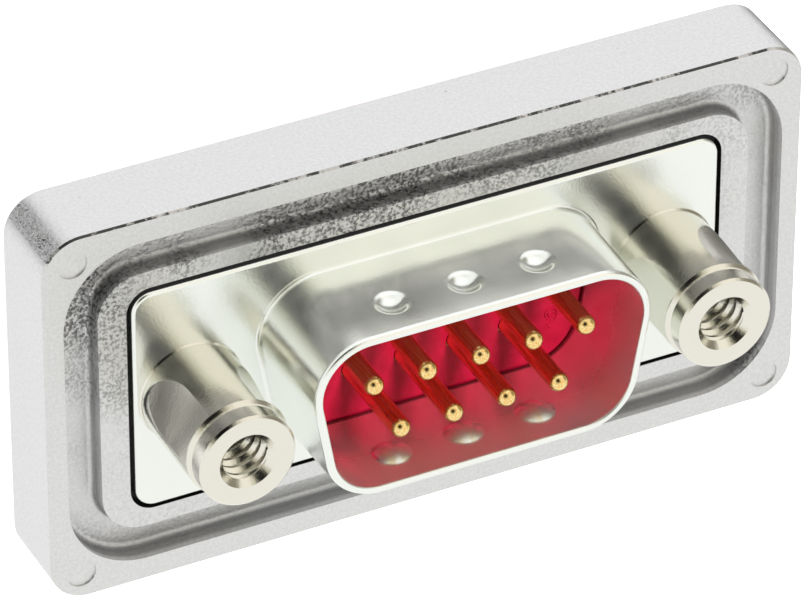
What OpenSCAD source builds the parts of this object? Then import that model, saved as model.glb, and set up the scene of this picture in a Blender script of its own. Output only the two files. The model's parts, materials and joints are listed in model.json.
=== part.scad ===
// Nine-way subminiature-D plug connector in a sealed die-cast housing.
// Millimetres. X along the long side, Y up across the short side, Z out of the mating face.
// Z = 0 is the plane of the housing's front rim, which seals against the back of a panel.

/* [Contacts] */
// spacing of the contacts along a row
pitch = 2.77; // [2.76:0.01:2.78]
// spacing of the two rows
row_pitch = 2.84; // [2.82:0.01:2.86]
// diameter of the mating pins
pin_d = 1.0; // [0.96:0.01:1.04]
// height of the pin tips above the flange
pin_z = 5.7; // [5.4:0.02:5.78]
// diameter of a contact's barrel inside the insulators
barrel_d = 1.4; // [1.34:0.02:1.46]
// diameter of the shoulder that the insulators trap
shoulder_d = 1.9; // [1.7:0.05:2]
// length of that shoulder
shoulder_len = 1.5; // [1:0.1:1.8]
// diameter of the solder tails
tail_d = 0.64; // [0.6:0.02:0.66]
// length of the solder tails behind the barrels
tail_len = 4.4; // [3:0.1:6]

/* [Shells] */
// thickness of the stamped sheet
sheet = 0.42; // [0.35:0.01:0.5]
// from the end contacts of the wide row to the outside of the mating skirt
skirt_end = 3.38; // [3.3:0.01:3.5]
// from a contact row to the outside of the mating skirt
skirt_side = 3.2; // [3.14:0.01:3.26]
// height of the skirt above the flange
skirt_z = 5.82; // [5.5:0.02:6]
// corner radius over the outside of the skirt at its foot
skirt_r = 3.03; // [2.8:0.01:3.2]
// slope of the skirt's two short sides
skirt_angle = 10; // [8:0.5:12]
// how much the skirt closes in on each side between foot and rim
skirt_taper = 0.12; // [0.02:0.01:0.2]
// outside bend radius at the skirt's foot
foot_bend = 0.2; // [0.15:0.01:0.3]
// rounding of the skirt's outer rim edge
rim_round = 0.24; // [0.1:0.01:0.28]
// rounding of the skirt's inner rim edge
rim_round_in = 0.12; // [0.05:0.01:0.13]
// spacing of the grounding dimples on each long side
dimple_pitch = 3.8; // [3.4:0.1:4]
// height of the dimples above the flange
dimple_z = 3.6; // [3:0.1:4]
// radius of the pressed-in ball of a dimple
dimple_ball = 1.1; // [0.7:0.05:1.2]
// radius that blends a dimple into the skirt
dimple_blend = 0.6; // [0.3:0.05:0.7]
// depth of one dimple
dimple_depth = 0.36; // [0.2:0.02:0.4]
// from the skirt to the side of the rear shell's body, along X
tub_step_x = 0.73; // [0.7:0.01:0.8]
// from the skirt to the side of the rear shell's body, along Y
tub_step_y = 0.74; // [0.7:0.01:0.8]
// depth of the rear shell's body behind the sheet
tub_z = 4.06; // [3.6:0.02:4.6]
// corner radius of the rear shell's body
tub_r = 1.6; // [1.2:0.1:2]
// from a screwlock's axis to the end of the flange
flange_end = 2.905; // [2.8:0.005:3]
// from the rear shell's body to the long edge of the flange
flange_side = 0.715; // [0.66:0.005:0.8]
// corner radius of both shell flanges
flange_r = 1.05; // [0.8:0.05:1.4]
// rolled-over edge round the front of the flange
flange_roll = 0.2; // [0.1:0.05:0.3]

/* [Screwlocks] */
// from the side of the rear shell's body to a screwlock's axis
lock_side = 2.845; // [2.84:0.005:2.9]
// height of the screwlocks above the flange
lock_z = 6.33; // [5.8:0.01:6.6]
// diameter of the screwlock's body
lock_d = 5.2; // [5.1:0.02:5.3]
// how far the front collar is set in from the body
collar_step = 0.14; // [0.1:0.01:0.18]
// length of the front collar
collar_z = 1.08; // [0.9:0.02:1.3]
// how deep each wrench flat is cut into the body
flat_depth = 0.4; // [0.3:0.02:0.5]
// height above the flange at which the first wrench flat begins
flat_z = 0.7; // [0.4:0.1:1.4]
// how much higher the other two flats begin
flat_rise = 0.8; // [0:0.1:1]
// radius of the cutter that leaves the run-out of each flat
flat_cutter = 6.5; // [5:0.5:9]
// outside diameter of the 4-40 thread
thread_d = 2.84; // [2.84:0.01:2.86]
// inside diameter of the 4-40 thread
thread_core_d = 2.3; // [2.28:0.01:2.36]
// depth of the threaded hole
hole_z = 5.4; // [4.6:0.1:5.6]
// turn of the left screwlock's first flat round its axis
turn_left = 154; // [0:1:359]
// turn of the right screwlock's first flat round its axis
turn_right = 172; // [0:1:359]
// width of a nut across its flats
nut_af = 4.76; // [4.7:0.01:4.8]
// thickness of a nut
nut_t = 1.58; // [1.5:0.02:1.64]
// outside diameter of a lock washer
washer_d = 5.1; // [5:0.05:5.3]
// thickness of a lock washer
washer_t = 0.5; // [0.4:0.05:0.6]

/* [Housing] */
// depth of the housing behind its front rim
housing_d = 4.43; // [4.2:0.01:6]
// radius of the housing's four outer corners
housing_r = 2.0; // [1.2:0.1:3]
// broken edge round the front and back of the housing
housing_edge = 0.1; // [0.05:0.01:0.2]
// gap between the flanges and the pocket that holds them
flange_gap = 0.22; // [0.1:0.01:0.3]
// lip between pocket and groove at the two ends
lip_end = 1.45; // [1.2:0.05:1.6]
// lip between pocket and groove along the two sides
lip_side = 0.925; // [0.9:0.005:1.1]
// how far the lip lies under the front rim
lip_drop = 0.14; // [0.05:0.01:0.3]
// width of the seal groove between its two walls
groove_width = 1.78; // [1.4:0.02:1.9]
// depth of the seal groove under the front rim
groove_depth = 1.15; // [0.8:0.05:1.4]
// corner radius of the groove's outer wall
groove_r = 4.0; // [3.6:0.1:4.4]
// fillet along both sides of the groove's floor
groove_fillet = 0.3; // [0.1:0.05:0.4]
// rim outside the groove at the two ends
rim_end = 1.0; // [0.9:0.05:1.4]
// rim outside the groove along the two sides
rim_side = 1.25; // [1.2:0.05:1.6]
// thickness of the floor between flange pocket and back recess
web = 1.8; // [1.6:0.05:2]
// wall round the back recess at the two ends
back_wall_end = 3.35; // [3:0.05:3.6]
// wall round the back recess along the two sides
back_wall_side = 3.05; // [2.8:0.05:3.2]
// corner radius of the back recess
recess_r = 2.4; // [1.6:0.1:3]
// slope of the recess's walls, as the step out at the back
recess_draft = 0.15; // [0.05:0.01:0.2]
// how far the sealing resin stays under the housing's back
resin_drop = 0.45; // [0.2:0.05:0.7]
// diameter of the four ejector-pin marks in the front corners
ejector_d = 1.5; // [1:0.1:1.6]
// how far the ejector-pin marks lie under the front face
ejector_sink = 0.09; // [0.04:0.01:0.15]
// from the end of the housing to the middle of an ejector mark
ejector_in_x = 1.55; // [1.4:0.05:1.7]
// from the side of the housing to the middle of an ejector mark
ejector_in_y = 1.43; // [1.3:0.01:1.5]

/* [Hidden] */
$fn = 64;
wide_row = 5;                     // contacts in the wide row, numbered first
narrow_row = 4;                   // contacts in the narrow row
dimples = 3;                      // grounding dimples on each long side
flats = 3;                        // wrench flats on a screwlock
gap = 0.03;                       // fit of what slides into a moulding or a shell
crossing = 0.003;                 // how far the skirt's straight walls are set in
past = 1;                         // how far a cut runs past the face it opens
over = 0.01;                      // the same sideways, where the next space is narrow

pin_r = pin_d / 2;
barrel_r = barrel_d / 2;
shoulder_r = shoulder_d / 2;
barrel_front = -0.12;             // the barrel ends just under the insulator's face
skirt_w = (wide_row - 1) * pitch + 2 * skirt_end;
skirt_h = row_pitch + 2 * skirt_side;
skirt_cy = skirt_h / 2 - skirt_r;
skirt_ct = skirt_w / 2 - skirt_r;
skirt_cb = skirt_ct - 2 * skirt_cy * tan(skirt_angle);
skirt_axes = [[-skirt_cb, -skirt_cy], [skirt_cb, -skirt_cy], [skirt_ct, skirt_cy], [-skirt_ct, skirt_cy]];
tub_w = skirt_w + 2 * tub_step_x;
tub_h = skirt_h + 2 * tub_step_y;
tub_back = -sheet - tub_z;
lock_x = tub_w / 2 + lock_side;
flange_w = 2 * (lock_x + flange_end);
flange_h = tub_h + 2 * flange_side;
stack = 2 * sheet;                // both flanges, one behind the other

pocket_w = flange_w + 2 * flange_gap;
pocket_h = flange_h + 2 * flange_gap;
pocket_r = flange_r + flange_gap;
lip_w = pocket_w + 2 * lip_end;
lip_h = pocket_h + 2 * lip_side;
lip_r = groove_r - groove_width;
groove_w = lip_w + 2 * groove_width;
groove_h = lip_h + 2 * groove_width;
housing_w = groove_w + 2 * rim_end;
housing_h = groove_h + 2 * rim_side;
web_z = -stack - web;
window_gap = 0.3;                 // room round the rear shell's body
recess_w = housing_w - 2 * back_wall_end;
recess_h = housing_h - 2 * back_wall_side;
resin_z = -housing_d + resin_drop;

lock_r = lock_d / 2;
collar_r = lock_r - collar_step;
flat_r = lock_r - flat_depth;
collar_foot = lock_z - collar_z;
thread_r = thread_d / 2;
core_r = thread_core_d / 2;
thread_gap = 0.02;                // between a stud and the nut on it
stud_r = thread_r - thread_gap;
stud_end = 0.35;                  // stud showing behind the nut
washer_z = web_z - washer_t;
nut_z = washer_z - nut_t;
nut_corner_r = nut_af / sqrt(3);
stud_z = nut_z - stud_end;
screw_hole_r = stud_r + 0.15;     // through the flanges and the washer
housing_hole_r = stud_r + 0.2;    // through the housing

ins_split = -2.4;                 // joint between front and rear insulator
ins_proud = 0.9;                  // rear insulator standing out behind the rear shell
barrel_proud = 0.25;              // barrels standing out behind the rear insulator
ins_back = tub_back - ins_proud;
ins_w = tub_w - 2 * (sheet + gap);
ins_h = tub_h - 2 * (sheet + gap);
ins_r = tub_r - sheet - gap;
ins_round = 0.15;                 // rounded edge round the insulator's face

// a whole number of thousandths, so that corners and walls meet exactly
function thousandth(v) = round(v * 1000) / 1000;

// corner axes of a rounded box
function box_axes(w, h, r) =
  let (x = thousandth(w / 2 - r), y = thousandth(h / 2 - r)) [[-x, -y], [x, -y], [x, y], [-x, y]];
// contacts are numbered along the wide row first, then along the narrow one
function contact_xy(i) = i <= wide_row
  ? [(i - (wide_row + 1) / 2) * pitch, row_pitch / 2]
  : [(i - wide_row - (narrow_row + 1) / 2) * pitch, -row_pitch / 2];

// points along an arc of n equal steps
function arc(cx, cy, r, a0, a1, n) =
  [for (i = [0 : n]) let (a = a0 + (a1 - a0) * i / n) [cx + r * cos(a), cy + r * sin(a)]];

// A solid whose plan is the polygon of corner axes grown outwards by the profile in children(0).
// The profile starts on the axis: x is the distance from it and y the height. The straight walls
// can be set in a hair behind the corners, so that slanted ones cross the corners cleanly.
module grown(axes, z0, z1, set_in = 0) {
  for (i = [0 : len(axes) - 1]) {
    a = axes[i];
    b = axes[(i + 1) % len(axes)];
    d = b - a;
    translate([a[0], a[1], 0]) rotate_extrude() children(0);
    translate([b[0], b[1], 0]) rotate([90, 0, atan2(-d[0], d[1])])
      linear_extrude(norm(d)) translate([-set_in, 0]) children(0);
  }
  translate([0, 0, z0]) linear_extrude(z1 - z0) polygon(axes);
}

// profile of a rounded edge: full width up to z1 - r, then a quarter circle
module rounded_over(x, z0, z1, r) {
  square_from(0, x, z0, z1 - r);
  square_from(0, x - r, z0, z1);
  intersection() {
    translate([x - r, z1 - r]) circle(r = r);
    square_from(x - r, x, z1 - r, z1);
  }
}

// plain upright block with rounded corners
module block(w, h, r, z0, z1) {
  translate([0, 0, z0]) linear_extrude(z1 - z0) {
    for (c = box_axes(w, h, r)) translate(c) circle(r = r);
    square([w, h - 2 * r], center = true);
    square([w - 2 * r, h], center = true);
  }
}

module square_from(x0, x1, y0, y1) { translate([x0, y0]) square([x1 - x0, y1 - y0]); }

module tube_hole(x, y, r, z0, z1) { translate([x, y, z0]) cylinder(r = r, h = z1 - z0); }

// ---------------------------------------------------------------- housing
module groove_outer() {
  // outer wall of the groove with a fillet into the floor
  square_from(0, groove_r - groove_fillet, -groove_depth, past);
  square_from(0, groove_r, -groove_depth + groove_fillet, past);
  translate([groove_r - groove_fillet, -groove_depth + groove_fillet]) circle(r = groove_fillet);
}

module groove_inner() {
  // island left standing inside the groove, flared into the floor
  square_from(0, lip_r, -groove_depth - past, 2 * past);
  difference() {
    square_from(0, lip_r + groove_fillet, -groove_depth - past, -groove_depth + groove_fillet);
    translate([lip_r + groove_fillet, -groove_depth + groove_fillet]) circle(r = groove_fillet);
  }
}

module housing_profile() {
  e = housing_edge;
  polygon([[0, -housing_d], [housing_r - e, -housing_d], [housing_r, -housing_d + e],
           [housing_r, -e], [housing_r - e, 0], [0, 0]]);
}

module die_cast_housing() {
  color([0.86, 0.86, 0.87]) difference() {
    grown(box_axes(housing_w, housing_h, housing_r), -housing_d, 0) housing_profile();
    // seal groove
    difference() {
      grown(box_axes(groove_w, groove_h, groove_r), -groove_depth, past) groove_outer();
      grown(box_axes(groove_w, groove_h, groove_r), -groove_depth - past, 2 * past) groove_inner();
    }
    // everything inside the groove stands a little under the rim
    block(lip_w + 2 * over, lip_h + 2 * over, lip_r + over, -lip_drop, past);
    // pocket for the two flanges, window for the rear body, recess at the back
    block(pocket_w, pocket_h, pocket_r, -stack, past);
    block(tub_w + 2 * window_gap, tub_h + 2 * window_gap, tub_r + window_gap, web_z - past, 0);
    grown(box_axes(recess_w, recess_h, recess_r), -housing_d - past, web_z, crossing)
      polygon([[0, -housing_d - past], [recess_r + recess_draft, -housing_d - past],
               [recess_r, web_z], [0, web_z]]);
    for (s = [-1, 1]) {
      tube_hole(s * lock_x, 0, housing_hole_r, -housing_d - past, past);
      for (t = [-1, 1])
        tube_hole(s * (housing_w / 2 - ejector_in_x), t * (housing_h / 2 - ejector_in_y),
                  ejector_d / 2, -ejector_sink, past);
    }
  }
}

// ---------------------------------------------------------------- shells
// outside of the skirt, from its axis outwards: bend at the foot, slope, rounded rim
module skirt_outside() {
  polygon(concat([[0, -sheet], [skirt_r + foot_bend, -sheet]],
    arc(skirt_r + foot_bend, foot_bend, foot_bend, 270, 180, 4),
    arc(skirt_r - skirt_taper - rim_round, skirt_z - rim_round, rim_round, 0, 90, 5),
    [[0, skirt_z]]));
}

// inside of the skirt: wide bend at the back, slope, rounded lip, and clear space at both ends
module skirt_inside() {
  bend = foot_bend + sheet;
  lip_x = skirt_r - sheet - skirt_taper + rim_round_in;
  polygon(concat([[0, -sheet - past], [skirt_r + foot_bend, -sheet - past]],
    arc(skirt_r + foot_bend, foot_bend, bend, 270, 180, 6),
    arc(lip_x, skirt_z - rim_round_in, rim_round_in, 180, 90, 3),
    [[lip_x, skirt_z + past], [0, skirt_z + past]]));
}

module flange_plate() {
  grown(box_axes(flange_w, flange_h, flange_r), -sheet, 0)
    rounded_over(flange_r, -sheet, 0, flange_roll);
}

// Section of a dimple, out from its axis: a ball, then a blend back into the skirt. Grown by t
// it gives the bulge that the same dimple makes on the inside of the sheet. It stops where the
// blend still slopes a little, so that it crosses the skirt's face instead of grazing it.
module dimple_section(t) {
  graze = 8;
  drop = dimple_ball + dimple_blend - dimple_depth;
  reach = sqrt(pow(dimple_ball + dimple_blend, 2) - drop * drop);
  steep = acos(drop / (dimple_ball + dimple_blend));
  polygon(concat(arc(0, dimple_ball - dimple_depth, dimple_ball + t, 270, 270 + steep, 8),
    arc(reach, -dimple_blend, dimple_blend - t, 90 + steep, 90 + graze, 6),
    [[reach - 0.05, 2 * past], [0, 2 * past]]));
}

// place children at every dimple, z pointing out of the skirt from its outer face
module at_dimples() {
  slope = atan(skirt_taper / (skirt_z - foot_bend - rim_round));
  y_out = skirt_h / 2 - crossing - (dimple_z - foot_bend) * tan(slope);
  for (s = [0, 1], i = [0 : dimples - 1])
    mirror([0, s, 0]) translate([(i - (dimples - 1) / 2) * dimple_pitch, y_out, dimple_z])
      rotate([slope - 90, 0, 0]) children();
}

module front_shell() {
  color([0.80, 0.80, 0.76]) difference() {
    union() {
      difference() {
        union() {
          flange_plate();
          grown(skirt_axes, -sheet, skirt_z, crossing) skirt_outside();
        }
        grown(skirt_axes, -sheet - past, skirt_z + past, crossing) skirt_inside();
      }
      at_dimples() rotate_extrude() intersection() {
        dimple_section(sheet);
        square_from(0, dimple_pitch / 2, -dimple_pitch / 2, -sheet / 2);
      }
    }
    at_dimples() rotate_extrude() dimple_section(0);
    for (s = [-1, 1]) tube_hole(s * lock_x, 0, screw_hole_r, -sheet - past, past);
  }
}

module rear_shell() {
  color([0.80, 0.80, 0.76]) difference() {
    union() {
      block(flange_w, flange_h, flange_r, -stack, -sheet);
      grown(box_axes(tub_w, tub_h, tub_r), tub_back, -sheet, crossing)
        polygon(concat([[0, tub_back], [tub_r, tub_back]],
          arc(tub_r + foot_bend, -stack - foot_bend, foot_bend, 180, 90, 4),
          [[tub_r + foot_bend, -sheet], [0, -sheet]]));
    }
    block(tub_w - 2 * sheet, tub_h - 2 * sheet, tub_r - sheet, tub_back - past, past);
    for (s = [-1, 1]) tube_hole(s * lock_x, 0, screw_hole_r, -stack - past, past);
  }
}

// ---------------------------------------------------------------- insulators
module front_insulator() {
  island = skirt_r - sheet - gap;
  color([0.72, 0.05, 0.16]) difference() {
    union() {
      block(ins_w, ins_h, ins_r, ins_split, -sheet);
      grown(skirt_axes, -sheet - 0.2, 0, crossing)
        polygon(concat([[0, -sheet - 0.2], [island, -sheet - 0.2]],
          arc(island - ins_round, -ins_round, ins_round, 0, 90, 4), [[0, 0]]));
    }
    for (i = [1 : wide_row + narrow_row]) {
      p = contact_xy(i);
      tube_hole(p[0], p[1], pin_r + gap, ins_split, past);
      tube_hole(p[0], p[1], barrel_r + gap, ins_split - past, barrel_front + gap);
      tube_hole(p[0], p[1], shoulder_r + gap, ins_split - past, ins_split + shoulder_len / 2 + gap);
    }
  }
}

module rear_insulator() {
  color([0.72, 0.05, 0.16]) difference() {
    block(ins_w, ins_h, ins_r, ins_back, ins_split);
    for (i = [1 : wide_row + narrow_row]) {
      p = contact_xy(i);
      tube_hole(p[0], p[1], barrel_r + gap, ins_back - past, ins_split + past);
      tube_hole(p[0], p[1], shoulder_r + gap, ins_split - shoulder_len / 2 - gap, ins_split + past);
    }
  }
}

// ---------------------------------------------------------------- contacts
module contact(i) {
  p = contact_xy(i);
  back = ins_back - barrel_proud;
  tip = back - tail_len;
  nib = 0.2;
  nib_in = 0.12;
  color([0.93, 0.72, 0.25]) translate([p[0], p[1], 0]) rotate_extrude() difference() {
    union() {
      translate([0, pin_z - pin_r]) circle(r = pin_r);
      polygon([[0, tip], [tail_d / 2 - nib_in, tip], [tail_d / 2, tip + nib], [tail_d / 2, back],
        [barrel_r, back], [barrel_r, ins_split - shoulder_len / 2],
        [shoulder_r, ins_split - shoulder_len / 2], [shoulder_r, ins_split + shoulder_len / 2],
        [barrel_r, ins_split + shoulder_len / 2], [barrel_r, barrel_front], [pin_r, barrel_front],
        [pin_r, pin_z - pin_r], [0, pin_z - pin_r]]);
    }
    translate([-2 * pin_r, pin_z - 2 * pin_r]) square([2 * pin_r, 3 * pin_r]);
  }
}

// ---------------------------------------------------------------- screwlocks
// revolved outside: stud, thin foot ring, body, chamfer, fine groove and collar
module screwlock_outside() {
  edge = 0.12;
  foot = 0.08;
  nick = 0.06;
  nick_z = 0.04;
  nick_w = 0.1;
  rotate_extrude() polygon([
    [0, stud_z], [core_r, stud_z], [stud_r, stud_z + stud_r - core_r], [stud_r, 0],
    [lock_r + foot, 0], [lock_r + foot, foot], [lock_r, 2 * foot], [lock_r, collar_foot - collar_step],
    [collar_r, collar_foot], [collar_r - nick, collar_foot + nick_z],
    [collar_r - nick, collar_foot + nick_z + nick_w], [collar_r, collar_foot + 2 * nick_z + nick_w],
    [collar_r, lock_z - edge], [collar_r - edge, lock_z], [0, lock_z]]);
}

// revolved hole: drill point, thread at its outside diameter, first crest and countersink
module screwlock_hole() {
  mouth = 0.34;
  crest = 0.16;
  point = 0.6;
  mouth_r = thread_r + 0.04;
  rotate_extrude() polygon([[0, lock_z - hole_z - point], [thread_r, lock_z - hole_z],
    [thread_r, lock_z - mouth - crest], [core_r, lock_z - mouth], [mouth_r, lock_z],
    [mouth_r, lock_z + past], [0, lock_z + past]]);
}

// one wrench flat on the +X side, with the round run-out its cutter leaves
module flat_cut(start) {
  chamfer_land = 0.05;
  top = collar_foot - collar_step - chamfer_land;
  run = sqrt(flat_cutter * flat_cutter - pow(flat_cutter - flat_depth, 2));
  rotate([90, 0, 0]) translate([0, 0, -lock_r]) linear_extrude(lock_d) intersection() {
    union() {
      translate([flat_r + flat_cutter, start + run]) circle(r = flat_cutter, $fn = 180);
      square_from(flat_r, lock_d, start + run, top);
    }
    square_from(0, lock_d, 0, top);
  }
}

module screwlock(turn) {
  color([0.82, 0.81, 0.77]) difference() {
    screwlock_outside();
    screwlock_hole();
    for (k = [0 : flats - 1])
      rotate([0, 0, turn + k * 360 / flats]) flat_cut(flat_z + (k > 0 ? flat_rise : 0));
  }
}

// split ring under the nut
module lock_washer(s) {
  slit = 0.36;
  color([0.75, 0.75, 0.72]) translate([s * lock_x, 0, washer_z]) difference() {
    cylinder(d = washer_d, h = washer_t);
    translate([0, 0, -past]) cylinder(r = screw_hole_r, h = washer_t + 2 * past);
    translate([-slit / 2, 0, -past]) cube([slit, washer_d, washer_t + 2 * past]);
  }
}

// hexagon nut with its corners chamfered at the back
module lock_nut(s) {
  bevel = 0.3;
  lead = 0.2;
  land = 0.05;
  outside = nut_corner_r + past;
  color([0.80, 0.79, 0.74]) translate([s * lock_x, 0, nut_z]) difference() {
    intersection() {
      cylinder(r = nut_corner_r, h = nut_t, $fn = 6);
      rotate_extrude() polygon([[0, 0], [nut_af / 2 + land, 0], [nut_corner_r, bevel],
                                [outside, bevel], [outside, nut_t], [0, nut_t]]);
    }
    translate([0, 0, -past]) cylinder(r = thread_r, h = nut_t + 2 * past);
    translate([0, 0, -over]) cylinder(r1 = thread_r + lead, r2 = thread_r, h = lead);
  }
}

// ---------------------------------------------------------------- potting
module potting() {
  color([0.10, 0.10, 0.11]) difference() {
    block(recess_w, recess_h, recess_r, resin_z, web_z);
    block(tub_w, tub_h, tub_r, resin_z - past, web_z + past);
    for (s = [-1, 1]) translate([s * lock_x, 0, 0]) {
      translate([0, 0, washer_z]) cylinder(d = washer_d, h = washer_t + past);
      translate([0, 0, resin_z - past])
        cylinder(r = nut_corner_r, h = web_z - resin_z + 2 * past, $fn = 6);
    }
  }
}

die_cast_housing();
front_shell();
rear_shell();
front_insulator();
rear_insulator();
contact(1);  // contact_1
contact(2);  // contact_2
contact(3);  // contact_3
contact(4);  // contact_4
contact(5);  // contact_5
contact(6);  // contact_6
contact(7);  // contact_7
contact(8);  // contact_8
contact(9);  // contact_9
translate([-lock_x, 0, 0]) screwlock(turn_left);  // screwlock_left
translate([lock_x, 0, 0]) screwlock(turn_right);  // screwlock_right
lock_washer(-1);  // lock_washer_left
lock_washer(1);  // lock_washer_right
lock_nut(-1);  // lock_nut_left
lock_nut(1);  // lock_nut_right
potting();
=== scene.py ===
# %% [markdown]
# # A nine-way D-sub plug in a sealed die-cast housing
# The solids come ready-made at their real size, so this lesson is about what a viewer sees:
# thread in the screwlocks, moulded contact numbers, seven finishes of metal, plastic and resin,
# and a studio whose bright tent and dark openings draw the reflections.

# %% Load the frame
import json
import math
import bpy
from mathutils import Matrix, Vector


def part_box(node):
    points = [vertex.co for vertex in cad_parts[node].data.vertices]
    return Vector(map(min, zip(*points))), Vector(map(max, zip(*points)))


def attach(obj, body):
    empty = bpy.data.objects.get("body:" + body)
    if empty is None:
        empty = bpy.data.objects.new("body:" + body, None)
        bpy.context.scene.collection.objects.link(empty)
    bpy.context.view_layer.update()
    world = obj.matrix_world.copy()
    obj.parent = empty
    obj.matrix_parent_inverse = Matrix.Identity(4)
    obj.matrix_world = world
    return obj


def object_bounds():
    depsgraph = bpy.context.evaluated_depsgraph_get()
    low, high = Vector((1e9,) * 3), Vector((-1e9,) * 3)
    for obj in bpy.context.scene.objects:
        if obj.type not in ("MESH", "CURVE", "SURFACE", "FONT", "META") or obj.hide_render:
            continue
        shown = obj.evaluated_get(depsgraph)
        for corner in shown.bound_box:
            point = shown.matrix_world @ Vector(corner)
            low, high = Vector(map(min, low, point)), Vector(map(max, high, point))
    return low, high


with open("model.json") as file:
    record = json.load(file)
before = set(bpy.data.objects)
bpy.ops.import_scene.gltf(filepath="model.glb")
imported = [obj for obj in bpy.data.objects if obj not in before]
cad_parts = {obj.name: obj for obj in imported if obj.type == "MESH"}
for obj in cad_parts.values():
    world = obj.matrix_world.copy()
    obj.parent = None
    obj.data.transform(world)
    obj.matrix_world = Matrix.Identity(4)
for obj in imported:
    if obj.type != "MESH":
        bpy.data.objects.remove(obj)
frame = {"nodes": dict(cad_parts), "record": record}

MM = 0.001
cad_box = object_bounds()
nodes = frame["nodes"]
print("loaded", len(nodes), "nodes")

# %% [markdown]
# ## Colours
# Swatches are easiest to name as sRGB hex values, but a shader wants linear light.
# One function turns the first into the second, for every colour in the file.

# %% Hex to linear
def linear(hex_colour):
    values = [int(hex_colour[i:i + 2], 16) / 255 for i in (1, 3, 5)]
    return [v / 12.92 if v <= 0.04045 else ((v + 0.055) / 1.055) ** 2.4 for v in values] + [1.0]


print("mid grey is", round(linear("#808080")[0], 3), "in linear light")

# %% [markdown]
# ## Nodes
# A finish could be painted on an image, but patterns made by nodes have no seams and stay sharp
# close up. One small function adds a node with its settings and links, and hands back the
# output that is asked for. Inputs go by name, or as a tuple in the node's own order: a Map Range
# takes its value, the range that it comes from and the range that it goes to. A Mix of colours
# takes its factor at 0 and its colours at 6 and 7, and gives the result at 2.

# %% One node at a time
def feed(tree, node, inputs):
    """Link or set the inputs of a node, by name or in order."""
    for socket, value in inputs.items() if isinstance(inputs, dict) else enumerate(inputs):
        if isinstance(value, bpy.types.NodeSocket):
            tree.links.new(value, node.inputs[socket])
        else:
            node.inputs[socket].default_value = value


def add_node(tree, kind, inputs=(), out=0, **settings):
    node = tree.nodes.new("ShaderNode" + kind)
    for name, value in settings.items():
        setattr(node, name, value)
    feed(tree, node, inputs)
    return node.outputs[out]

# %% [markdown]
# ## The start of a finish
# Every finish starts from a Principled shader with constant values. Its patterns read Object
# coordinates, which are metres from the middle of the rim's plane, so a pattern's scale is one
# over its real size. Noise mostly keeps between 0.3 and 0.7, so that span is what gets
# stretched over a whole range of tone or gloss.

# %% Start a finish
def new_finish(name, inputs):
    material = bpy.data.materials.new(name)
    material.use_nodes = True
    tree = material.node_tree
    shader = tree.nodes["Principled BSDF"]
    feed(tree, shader, inputs)
    return material, tree, shader, add_node(tree, "TexCoord", out="Object")


def per(size_mm):
    return 1 / (size_mm * MM)


noise_span = (0.3, 0.7)
print("a 2 mm pattern has scale", round(per(2)))

# %% [markdown]
# ## Die-cast zinc with a satin coat
# The housing is cast in a steel die, tumbled and plated. The skin is pale and satin, with a
# fine grain, soft mottling where the metal chilled, and a few small pits. Tumbling media can't
# reach into the seal groove, so it stays speckled; its walls get painted shade, and along the top
# front edge runs a thin broken line of painted shade. One grey all over would look like plastic, and
# one noise all over would look like stone, so the finish is made in layers, each kept to its own place.
# The places come from the boxes of the solids: within the groove's outer edge, and within the
# pocket that the flanges sit in.

# %% Places on the housing
cast, tree, shader, place = new_finish("cast_zinc_satin", {
    "Base Color": linear("#dedee0"), "Metallic": 1.0, "Roughness": 0.4})
across, along, height = add_node(tree, "SeparateXYZ", (place,)).node.outputs
normal = add_node(tree, "NewGeometry", out="True Normal")
faces_x, faces_y = add_node(tree, "SeparateXYZ", (normal,)).node.outputs[:2]
far_from_middle = [add_node(tree, "Math", (side,), operation="ABSOLUTE") for side in (across, along)]

rim_width = (1.0 * MM, 1.25 * MM)
pocket_gap = 0.25 * MM
groove_half = [side - rim for side, rim in zip(cad_box[1], rim_width)]
pocket_half = [side + pocket_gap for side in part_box("front_shell")[1][:2]]
print("half sizes in mm: groove", [round(side / MM, 2) for side in groove_half],
      "pocket", [round(side / MM, 2) for side in pocket_half])

# %% [markdown]
# A mask is a number from 0 to 1 that says how much of a layer shows. Two ramps multiplied make
# a soft rectangle if they fall outwards, or its four corners if they rise outwards. Shade and
# patches stop 1.3 mm below the rim, so the back of the housing stays plain.

# %% Masks by place
def ramp_box(tree, half, start_mm, end_mm):
    """Ramp from 0 to 1 across and along, between two distances beyond the half sizes."""
    ramps = [add_node(tree, "MapRange", (far, side + start_mm * MM, side + end_mm * MM, 0, 1))
             for far, side in zip(far_from_middle, half)]
    return add_node(tree, "Math", ramps, operation="MULTIPLY")


lowest_mm = 1.3
within = ramp_box(tree, groove_half, start_mm=0.3, end_mm=0)
above_back = add_node(tree, "MapRange", (height, -lowest_mm * MM, -1.2 * MM, 0, 1))
in_groove = add_node(tree, "MapRange", (height, -0.2 * MM, -0.45 * MM, 0, 1))
in_pocket = add_node(tree, "MapRange", (height, -0.15 * MM, -0.2 * MM, 0, 0.9))
below_rim = add_node(tree, "MapRange", (height, -0.1 * MM, -0.13 * MM, 0, 1))
print("masks reach down to", lowest_mm, "mm below the rim")

# %% [markdown]
# The patterns of a casting run from patches 4.5 mm across down to a grain like fine sand. Real
# grain and speckles are under 0.1 mm, too fine to show, and are drawn about twice as coarse.
# Each pattern sits at its own W, so that no two of them line up.

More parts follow.
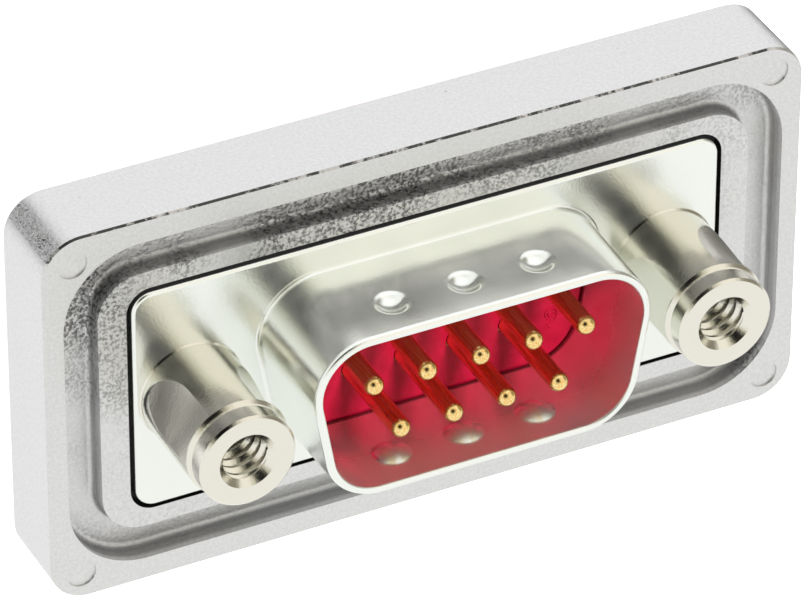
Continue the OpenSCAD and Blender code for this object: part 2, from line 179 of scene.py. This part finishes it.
# %% Patterns of the casting
casting_patterns = {  # size in mm, detail, roughness, W
    "patch": (4.5, 2, 0.5, 7),
    "mottle": (1.8, 3, 0.5, 2),
    "dashes": (0.7, 3, 0.7, 11),
    "pits": (0.28, 1, 0.5, 9),
    "specks": (0.17, 3, 0.6, 5),
    "grain": (0.16, 2, 0.5, 0),
}
noise = {}
for name, (size_mm, detail, roughness, w) in casting_patterns.items():
    noise[name] = add_node(tree, "TexNoise", {
        "Vector": place, "Scale": per(size_mm), "Detail": detail, "Roughness": roughness, "W": w},
        noise_dimensions="4D")
print(len(noise), "patterns from", max(casting_patterns.values())[0], "mm down")

# %% [markdown]
# ### The groove and the gap
# Painted shade darkens the groove most where a wall looks up, less where it looks
# left, and hardly at all on its floor. The narrow gap round the flanges lets no light out, so
# it is painted nearly black, as painted shade.

# %% Shade in the groove and the gap
up_shade = 0.42
left_shade = 0.2
floor_shade = 0.06
looks_up = add_node(tree, "MapRange", (faces_y, 0.1, 0.8, 0, up_shade))
looks_left = add_node(tree, "MapRange", (faces_x, -0.1, -0.8, 0, left_shade))
shade = add_node(tree, "Math", (looks_up, looks_left), operation="ADD")
shade = add_node(tree, "Math", (shade, floor_shade), operation="ADD")
sunk = add_node(tree, "Math", (within, in_groove), operation="MULTIPLY")
sunk = add_node(tree, "Math", (sunk, above_back), operation="MULTIPLY")
shade = add_node(tree, "Math", (sunk, shade), operation="MULTIPLY")

gap = ramp_box(tree, pocket_half, start_mm=0.1, end_mm=0)
gap = add_node(tree, "Math", (gap, in_pocket), operation="MULTIPLY")
gap = add_node(tree, "Math", (gap, above_back), operation="MULTIPLY")
print("groove walls that look up are shaded by", up_shade + floor_shade)

# %% [markdown]
# ### Speckles and pits
# Speckles gather in patches round the groove and on the lip, and in the groove's corners,
# thicker at the top and on the left. They also lie where the outer wall turns at the housing's
# upper left corner, at its full height. Pits are sparse and lie anywhere.

# %% Speckles and pits
corner_boost = 1.2
arc_speckle = 0.75
speckle_cover = 0.75
upper_left = Vector((-0.707, 0.707, 0))
patch = add_node(tree, "MapRange", (noise["patch"], 0.42, 0.6, 0.05, 1))
corner = ramp_box(tree, groove_half, start_mm=-3.2, end_mm=-2)
upper = add_node(tree, "MapRange", (along, -4 * MM, 5 * MM, 0.15, 1))
left = add_node(tree, "MapRange", (across, 14 * MM, 0, 0.35, 1))
for side in (upper, left):
    patch = add_node(tree, "Math", (patch, side), operation="MULTIPLY")
    corner = add_node(tree, "Math", (corner, side), operation="MULTIPLY")
corner = add_node(tree, "Math", (corner, corner_boost), operation="MULTIPLY")
patch = add_node(tree, "Math", (patch, corner), operation="MAXIMUM")
for limit in (within, below_rim, above_back):
    patch = add_node(tree, "Math", (patch, limit), operation="MULTIPLY")
turned = add_node(tree, "VectorMath", (normal, upper_left), out="Value", operation="DOT_PRODUCT")
arc = add_node(tree, "MapRange", (turned, 0.95, 0.995, 0, arc_speckle))
patch = add_node(tree, "Math", (patch, arc), operation="MAXIMUM")

speck = add_node(tree, "MapRange", (noise["specks"], 0.46, 0.6, 0, 1))
speckled = add_node(tree, "Math", (speck, patch), operation="MULTIPLY")
speckled = add_node(tree, "Math", (speckled, speckle_cover), operation="MULTIPLY")
pitted = add_node(tree, "MapRange", (noise["pits"], 0.77, 0.84, 0, 0.5))
print("speckles of", casting_patterns["specks"][0], "mm, pits of", casting_patterns["pits"][0], "mm")

# %% [markdown]
# ### Painted shade on the top front edge
# A thin broken dark line of painted shade runs along the top front edge. Outside the groove,
# only that edge looks up, forward and a little left at once, so its normal finds it, and a noise
# breaks it into dashes.

# %% Painted shade on the edge
painted_shade_edge = Vector((-0.35, 0.68, 0.645))
turned = add_node(tree, "VectorMath", (normal, painted_shade_edge), out="Value", operation="DOT_PRODUCT")
on_edge = add_node(tree, "MapRange", (turned, 0.9, 0.93, 0, 1))
outside = add_node(tree, "Math", (1.0, within), operation="SUBTRACT")
dashes = add_node(tree, "MapRange", (noise["dashes"], 0.4, 0.5, 0.15, 0.9))
painted_shade = add_node(tree, "Math", (on_edge, outside), operation="MULTIPLY")
painted_shade = add_node(tree, "Math", (painted_shade, dashes), operation="MULTIPLY")
print("worn edge in dashes of", casting_patterns["dashes"][0], "mm")

# %% [markdown]
# ### Layers of the casting
# The layers go over each other in this order: mottled metal, its grain, the painted shade of the
# groove and the gap, speckles and pits, then the painted shade on the edge. Grain and speckles also dent
# the surface.

# %% Lay the colours, gloss and relief
mottled = add_node(tree, "MapRange", (noise["mottle"], *noise_span, 0, 1))
grainy = add_node(tree, "MapRange", (noise["grain"], 0.35, 0.65, 0.16, 0))
tone = linear("#e2e2e3")
# shade, gap and the edge line are painted shade; mottle, grain, speckles and pits are the metal's own
for amount, colour in (
        (mottled, "#e7e7e8"),
        (grainy, "#98989c"),
        (shade, "#2e2e32"),
        (gap, "#0c0c0e"),
        (speckled, "#26262a"),
        (pitted, "#77777c"),
        (painted_shade, "#1c1c1e")):
    tone = add_node(tree, "Mix", {0: amount, 6: tone, 7: linear(colour)}, out=2, data_type="RGBA")
satin = (0.34, 0.46)
gloss = add_node(tree, "MapRange", (noise["mottle"], *noise_span, *satin))

grain_depth = 0.014 * MM
speck_depth = 0.04 * MM
dent_strength = 0.9
dented = add_node(tree, "Math", (patch, dent_strength), operation="MULTIPLY")
relief = add_node(tree, "Bump", {"Height": noise["grain"], "Strength": 1.0, "Distance": grain_depth})
relief = add_node(tree, "Bump", {
    "Height": speck, "Strength": dented, "Distance": speck_depth, "Normal": relief})
feed(tree, shader, {"Base Color": tone, "Roughness": gloss, "Normal": relief})
print(cast.name, "has", len(tree.nodes), "nodes")

# %% [markdown]
# ## Bright tin, bright nickel and zinc plate
# The shells are stamped from steel sheet and tinned, the screwlocks are turned and nickelled,
# and the washers and nuts at the back are plain zinc plate. All three are plated metal that
# mirrors the studio, more or less blurred, with slow waves from the press or the tool and a fine
# peel from the plating bath. So one function makes them all. The peel is drawn coarser than the
# real one, at 0.15 mm, to break the reflections where they can be seen.

# %% Plated metal
peel_mm = 0.15
wave_depth = 0.03 * MM
peel_depth = 0.009 * MM
gloss_spread = (0.8, 1.3)


def bright_plate(name, colour, wave_mm, roughness):
    material, tree, shader, place = new_finish(name, {
        "Base Color": linear(colour), "Metallic": 1.0, "Roughness": roughness})
    waves = add_node(tree, "TexNoise", {
        "Vector": place, "Scale": per(wave_mm), "Detail": 1}, noise_dimensions="4D")
    peel = add_node(tree, "TexNoise", {
        "Vector": place, "Scale": per(peel_mm), "Detail": 3, "Roughness": 0.6, "W": 3},
        noise_dimensions="4D")
    relief = add_node(tree, "Bump", {"Height": waves, "Strength": 0.35, "Distance": wave_depth})
    relief = add_node(tree, "Bump", {
        "Height": peel, "Strength": 0.8, "Distance": peel_depth, "Normal": relief})
    spread = [roughness * factor for factor in gloss_spread]
    gloss = add_node(tree, "MapRange", (waves, *noise_span, *spread))
    feed(tree, shader, {"Roughness": gloss, "Normal": relief})
    return material


tin = bright_plate("bright_tin", "#f4f7f3", 2.2, 0.2)
nickel = bright_plate("bright_nickel", "#ebe9df", 1.4, 0.15)
zinc = bright_plate("zinc_plate", "#c4c3bd", 0.9, 0.3)
print("plated", tin.name, nickel.name, zinc.name)

# %% [markdown]
# ### Haze inside the skirt
# The press scours the skirt's inner walls and nothing polishes them, so they show the crimson
# behind them as a blur. They are the walls that face the part's middle line: there a point's
# place and its normal oppose each other.

# %% Haze inside the skirt
haze = 0.33
scoured_metal = (0.97, 0.93)
tree = tin.node_tree
shader = tree.nodes["Principled BSDF"]
place = add_node(tree, "TexCoord", out="Object")
normal = add_node(tree, "NewGeometry", out="True Normal")
sideways = add_node(tree, "VectorMath", (place, (1, 1, 0)), operation="MULTIPLY")
outward = add_node(tree, "VectorMath", (sideways, normal), out="Value", operation="DOT_PRODUCT")
height = add_node(tree, "SeparateXYZ", (place,), out="Z")
inside = add_node(tree, "MapRange", (outward, -0.5 * MM, -1.0 * MM, 0, 1))
up_the_wall = add_node(tree, "MapRange", (height, 0.1 * MM, 4.5 * MM, 0.4, 1))
above_flange = add_node(tree, "MapRange", (height, -0.2 * MM, 0.1 * MM, 0, 1))
for limit in (up_the_wall, above_flange):
    inside = add_node(tree, "Math", (inside, limit), operation="MULTIPLY")
polished = shader.inputs["Roughness"].links[0].from_socket
hazed = add_node(tree, "Math", (inside, haze), operation="MULTIPLY")
gloss = add_node(tree, "Math", (polished, hazed), operation="MAXIMUM")
scoured = add_node(tree, "MapRange", (inside, 0.4, 1, *scoured_metal))
feed(tree, shader, {"Roughness": gloss, "Metallic": scoured})
print("inner walls are as rough as", haze)

# %% [markdown]
# ## Gold-plated pins
# The pins are turned from brass and plated with hard gold, and they mirror the crimson moulding
# round them. Fine lines run along each pin. Anisotropic gloss would blur the reflections in that
# way but show no single line, so the lines are a noise stretched 25 times in height. Real tool
# marks are about 0.02 mm apart, too fine to show, and are drawn 0.07 mm wide.

# %% Gold plate
line_mm = 0.07
line_stretch = 25
line_depth = 0.006 * MM
gold, tree, shader, place = new_finish("gold_plate", {
    "Base Color": linear("#ffe3a0"), "Metallic": 1.0, "Roughness": 0.2})
stretched = add_node(tree, "Mapping", {"Vector": place, "Scale": (1, 1, 1 / line_stretch)})
lines = add_node(tree, "TexNoise", {
    "Vector": stretched, "Scale": per(line_mm), "Detail": 2}, noise_dimensions="4D")
darker = add_node(tree, "MapRange", (lines, 0.4, 0.62, 0, 1))
tone = add_node(tree, "Mix", {0: darker, 6: linear("#ffe9ac"), 7: linear("#f2bd68")},
                out=2, data_type="RGBA")
relief = add_node(tree, "Bump", {"Height": lines, "Strength": 0.4, "Distance": line_depth})
feed(tree, shader, {"Base Color": tone, "Normal": relief})
print(gold.name, "has lines", line_mm, "mm wide")

# %% [markdown]
# ## Crimson moulding
# The insulators are glass-filled polyester, moulded against a polished tool: a deep red with a
# satin gloss, slightly cloudy where the filling reaches the surface. It lets no light through, so
# it does without subsurface scattering, which would take long to render and soften its edges.
# The glass dulls its skin, so its specular level is below the usual 0.5, and a fine bump roughens
# it. Glass fibres are about 0.01 mm thick, too fine to show, and are drawn at 0.08 mm.

# %% Crimson polyester
cloud_mm = 0.8
skin_mm = 0.08
skin_depth = 0.004 * MM
crimson, tree, shader, place = new_finish("crimson_polyester", {
    "Base Color": linear("#b80c34"), "Roughness": 0.42, "IOR": 1.5, "Specular IOR Level": 0.3})
cloud = add_node(tree, "TexNoise", {
    "Vector": place, "Scale": per(cloud_mm), "Detail": 3}, noise_dimensions="4D")
cloudy = add_node(tree, "MapRange", (cloud, *noise_span, 0, 1))
tone = add_node(tree, "Mix", {0: cloudy, 6: linear("#b00a30"), 7: linear("#c4143c")},
                out=2, data_type="RGBA")
skin = add_node(tree, "TexNoise", {
    "Vector": place, "Scale": per(skin_mm), "Detail": 2, "W": 4}, noise_dimensions="4D")
relief = add_node(tree, "Bump", {"Height": skin, "Strength": 0.3, "Distance": skin_depth})
feed(tree, shader, {"Base Color": tone, "Normal": relief})
print(crimson.name, "has clouds of", cloud_mm, "mm")

# %% [markdown]
# ## Black resin
# The recess behind is filled with epoxy, poured black and left to set. It levels itself, so it
# has a soft gloss and only a slow ripple where it shrank. That is too slight to need geometry,
# and a bump gives it.

# %% Black epoxy
ripple_mm = 2.5
ripple_depth = 0.15 * MM
epoxy, tree, shader, place = new_finish("black_epoxy", {
    "Base Color": linear("#141416"), "Roughness": 0.3, "IOR": 1.5})
ripple = add_node(tree, "TexNoise", {
    "Vector": place, "Scale": per(ripple_mm), "Detail": 2}, noise_dimensions="4D")
relief = add_node(tree, "Bump", {"Height": ripple, "Strength": 0.5, "Distance": ripple_depth})
feed(tree, shader, {"Normal": relief})
print(epoxy.name, "ripples every", ripple_mm, "mm")

# %% [markdown]
# ## Dressing the solids
# The record gives each solid a material slot by name. Finishes could be set solid by solid, but
# a table from slot to finish dresses them all, and a new solid with a known slot as well.

# %% Dress every solid
finishes = {
    "cast_metal": cast,
    "tin_plate": tin,
    "turned_metal": nickel,
    "plain_fastener": zinc,
    "gold_plate": gold,
    "crimson_moulding": crimson,
    "sealing_resin": epoxy,
}
for part in frame["record"]["subparts"]:
    solid = nodes[part["node"]]
    for slot in solid.material_slots:
        slot.material = finishes[part["material_slot"]]
print("dressed", len(nodes), "solids in", len(finishes), "finishes")

# %% [markdown]
# ## Thread in the screwlocks
# Each screwlock is tapped 4-40 for the mating plug's jackscrew. The hole in the solid has the
# thread's outside diameter, so a ridge is laid inside it. A bump could suggest the thread but
# has no outline at the mouth. So one short profile is swept up a helix by a Screw modifier,
# wound once on the middle line, and copied to each hole. Its back is set a little into the wall.

# %% Sizes of the thread, in mm
inch = 25.4
pitch = inch / 40
major_r = 1.42
minor_r = 1.16
set_in = 0.01
root_half = 0.27
crest_half = 0.07
turns = 7
down_from_face = 0.55
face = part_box("screwlock_left")[1][2] / MM
lowest = face - down_from_face - turns * pitch
print("pitch", pitch, "mm, from", round(lowest, 2), "to", round(face - down_from_face, 2), "mm")

# %% Wind one ridge
def select_none():
    for thing in bpy.context.selected_objects:
        thing.select_set(False)


select_none()
bpy.ops.mesh.primitive_plane_add(size=1 * MM)
ridge = bpy.context.object
profile = [(major_r + set_in, -root_half), (minor_r, -crest_half),  # the plane's lower corners
           (major_r + set_in, root_half), (minor_r, crest_half)]    # and its upper ones
for vertex, (radius, rise) in zip(ridge.data.vertices, profile):
    vertex.co = Vector((radius, 0, lowest + rise)) * MM
winding = ridge.modifiers.new("winding", "SCREW")
winding.axis = "Z"
winding.screw_offset = pitch * MM
winding.iterations = turns
winding.steps = 48
winding.render_steps = 48
winding.use_merge_vertices = True
winding.merge_threshold = 0.0001 * MM
bpy.ops.object.modifier_apply(modifier=winding.name)
bpy.ops.object.mode_set(mode="EDIT")
bpy.ops.mesh.select_all(action="SELECT")
bpy.ops.mesh.normals_make_consistent(inside=False)
bpy.ops.object.mode_set(mode="OBJECT")
bpy.ops.object.shade_smooth_by_angle(angle=math.radians(35))
ridge.data.materials.clear()
ridge.data.materials.append(finishes["turned_metal"])
print("one ridge of", len(ridge.data.polygons), "faces")

# %% Copy it to each hole
for side in ("left", "right"):
    low_corner, high_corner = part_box("screwlock_" + side)
    hole_x = (low_corner[0] + high_corner[0]) / 2
    select_none()
    ridge.select_set(True)
    bpy.context.view_layer.objects.active = ridge
    bpy.ops.object.duplicate()
    thread = bpy.context.object
    thread.name = "thread_" + side
    bpy.ops.object.mode_set(mode="EDIT")
    bpy.ops.mesh.select_all(action="SELECT")
    bpy.ops.transform.translate(value=(hole_x, 0, 0))
    bpy.ops.object.mode_set(mode="OBJECT")
    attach(thread, "root")
    print(thread.name, "at", round(hole_x / MM, 3), "mm")
bpy.data.objects.remove(ridge)

# %% [markdown]
# ## Contact numbers
# The ends of the two rows are numbered on the insulator. Each number is a fine raised outline.
# Letters with a fill would be slabs, so each is a text curve with no fill and a round bevel,
# half sunk in the face that the pins stand on.

# %% Mould the numbers
number_high = 1.5 * MM
number_wire = 0.07 * MM


def contact_number(digit, middle_x, middle_y):
    select_none()
    bpy.ops.object.text_add(location=(middle_x * MM, middle_y * MM, 0))
    number = bpy.context.object
    number.name = "contact_number_" + digit
    number.data.body = digit
    number.data.size = number_high
    number.data.align_x = "CENTER"
    number.data.align_y = "CENTER"
    number.data.fill_mode = "NONE"
    number.data.bevel_depth = number_wire
    number.data.bevel_resolution = 1
    bpy.ops.object.convert(target="MESH")
    bpy.ops.object.transform_apply(location=True, rotation=True, scale=True)
    number = bpy.context.object
    number.data.materials.clear()
    number.data.materials.append(finishes["crimson_moulding"])
    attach(number, "root")
    return number


for digit, middle_x, middle_y in (("1", -7.25, 1.3), ("5", 7.25, 1.3), ("6", -6.5, -1.8), ("9", 6.5, -1.8)):
    made = contact_number(digit, middle_x, middle_y)
    print(made.name, len(made.data.polygons), "faces")

# %% [markdown]
# ## The studio
# A product this bright shows what stands round it, so the studio matters as much as the
# finishes: a pale floor, a white tent with dark openings, one lamp and a camera. The floor is a
# plain sheet that glows a little, as a light table does, so the part hardly throws a shadow on
# it. It is left out of reflections, where the tent does the work.

# %% Floor
sheet_size = 6
sheet_glow = 0.7
floor_z = cad_box[0][2] - 0.2 * MM
select_none()
bpy.ops.mesh.primitive_plane_add(size=sheet_size, location=(0, 0, floor_z))
floor = bpy.context.object
floor.name = "floor"
white_sheet = new_finish("white_sheet", {
    "Base Color": linear("#fafafa"), "Roughness": 0.9,
    "Emission Color": linear("#ffffff"), "Emission Strength": sheet_glow})[0]
floor.data.materials.append(white_sheet)
floor.visible_glossy = False
bpy.context.scene.view_settings.view_transform = "Standard"
print("floor at", round(floor_z / MM, 2), "mm")

# %% [markdown]
# ## Tent
# A tent could be built of sheets, or be a picture wrapped round the scene. Here its panels and
# openings are soft cones of colour round a direction, laid over an even white, because each can
# be turned and tinted by itself. Each one is there for a reflection: from the camera, a face
# shows the direction that its mirror picks.
# The camera's own opening has a tan border and a nearly black middle, and it gives the
# screwlocks the dark band along their length. A later cone covers the earlier ones that it
# overlaps, so the border comes before the middle.

# %% Tent
TO_CAMERA = Vector((-0.3647, 0.5728, 0.7341))
tent_strength = 1.1


def lobe(tree, direction, towards, inner_deg, outer_deg):
    """1 inside a cone round a direction, falling softly to 0 outside it."""
    dot = add_node(tree, "VectorMath", (direction, Vector(towards).normalized()),
                   out="Value", operation="DOT_PRODUCT")
    outer, inner = (math.cos(math.radians(angle)) for angle in (outer_deg, inner_deg))
    return add_node(tree, "MapRange", (dot, outer, inner, 0, 1), interpolation_type="SMOOTHSTEP")


world = bpy.data.worlds.new("tent")
bpy.context.scene.world = world
world.use_nodes = True
tree = world.node_tree
direction = add_node(tree, "TexCoord", out="Generated")
light = linear("#f2f2ef")
tent_panels = (  # direction, inner and outer angle in degrees, colour, and what mirrors it
    ((0.365, 0.573, -0.734), 25, 50, "#ffffff"),    # walls that face up
    ((-0.365, -0.573, -0.734), 25, 50, "#ffffff"),  # walls that face left
    ((0.3, 0.95, 0.0), 15, 35, "#ffffff"),          # broken edges between a wall and the rim
    ((0.365, 0.573, 0.734), 18, 40, "#f6f1e6"),     # bends that face up and forward
    ((-0.573, 0.365, -0.734), 8, 30, "#101010"),    # rounds that face up and left
    ((0.573, -0.365, -0.734), 8, 26, "#101010"),    # rounds that face up and right
    (TO_CAMERA, 22, 40, "#cac6b2"),                 # screwlocks, by way of the flange
    (TO_CAMERA, 14, 27, "#060608"),                 # and their middles
    ((0.9, 0.3, 0.1), 12, 34, "#8a8577"),           # bends that face up, right and forward
)
for towards, inner_deg, outer_deg, colour in tent_panels:
    shown = lobe(tree, direction, towards, inner_deg, outer_deg)
    light = add_node(tree, "Mix", {0: shown, 6: light, 7: linear(colour)}, out=2, data_type="RGBA")
feed(tree, tree.nodes["Background"], {"Color": light, "Strength": tent_strength})
print("tent of", len(tent_panels), "panels and openings")

# %% [markdown]
# ## Lamp
# One small softbox stands in front and above, and brings out the grain of the casting and the
# curve of the skirt. The metals already mirror the tent, so the box itself is left out of their
# reflections.

# %% Lamp
softbox_place = Vector((0.03, 0.22, 0.34))
softbox = bpy.data.lights.new("front_softbox", "AREA")
softbox.energy = 1.7
softbox.size = 0.1
holder = bpy.data.objects.new("front_softbox", softbox)
bpy.context.collection.objects.link(holder)
turn = (-softbox_place).to_track_quat("-Z", "Y").to_matrix().to_4x4()
holder.matrix_world = Matrix.Translation(softbox_place) @ turn
holder.visible_glossy = False
print("softbox", round(softbox_place.length, 2), "m away")

# %% [markdown]
# ## Camera
# A short lens close up would make the near screwlock much larger than the far one. A long lens
# stands back, at the front left and above the long side, so that the upright lines stay nearly
# parallel.

# %% Camera
lens = bpy.data.cameras.new("camera")
lens.lens = 314.1
lens.sensor_width = 36
camera = bpy.data.objects.new("camera", lens)
bpy.context.collection.objects.link(camera)
right = Vector((0.8961, 0.0016, 0.4439))
up = Vector((0.2531, 0.8197, -0.5139))
back = right.cross(up)
stand = Vector((-0.122206, 0.191379, 0.243081))
camera.matrix_world = Matrix(((right.x, up.x, back.x, stand.x), (right.y, up.y, back.y, stand.y),
                              (right.z, up.z, back.z, stand.z), (0, 0, 0, 1)))
bpy.context.scene.camera = camera
print("camera", round(stand.length, 3), "m away")
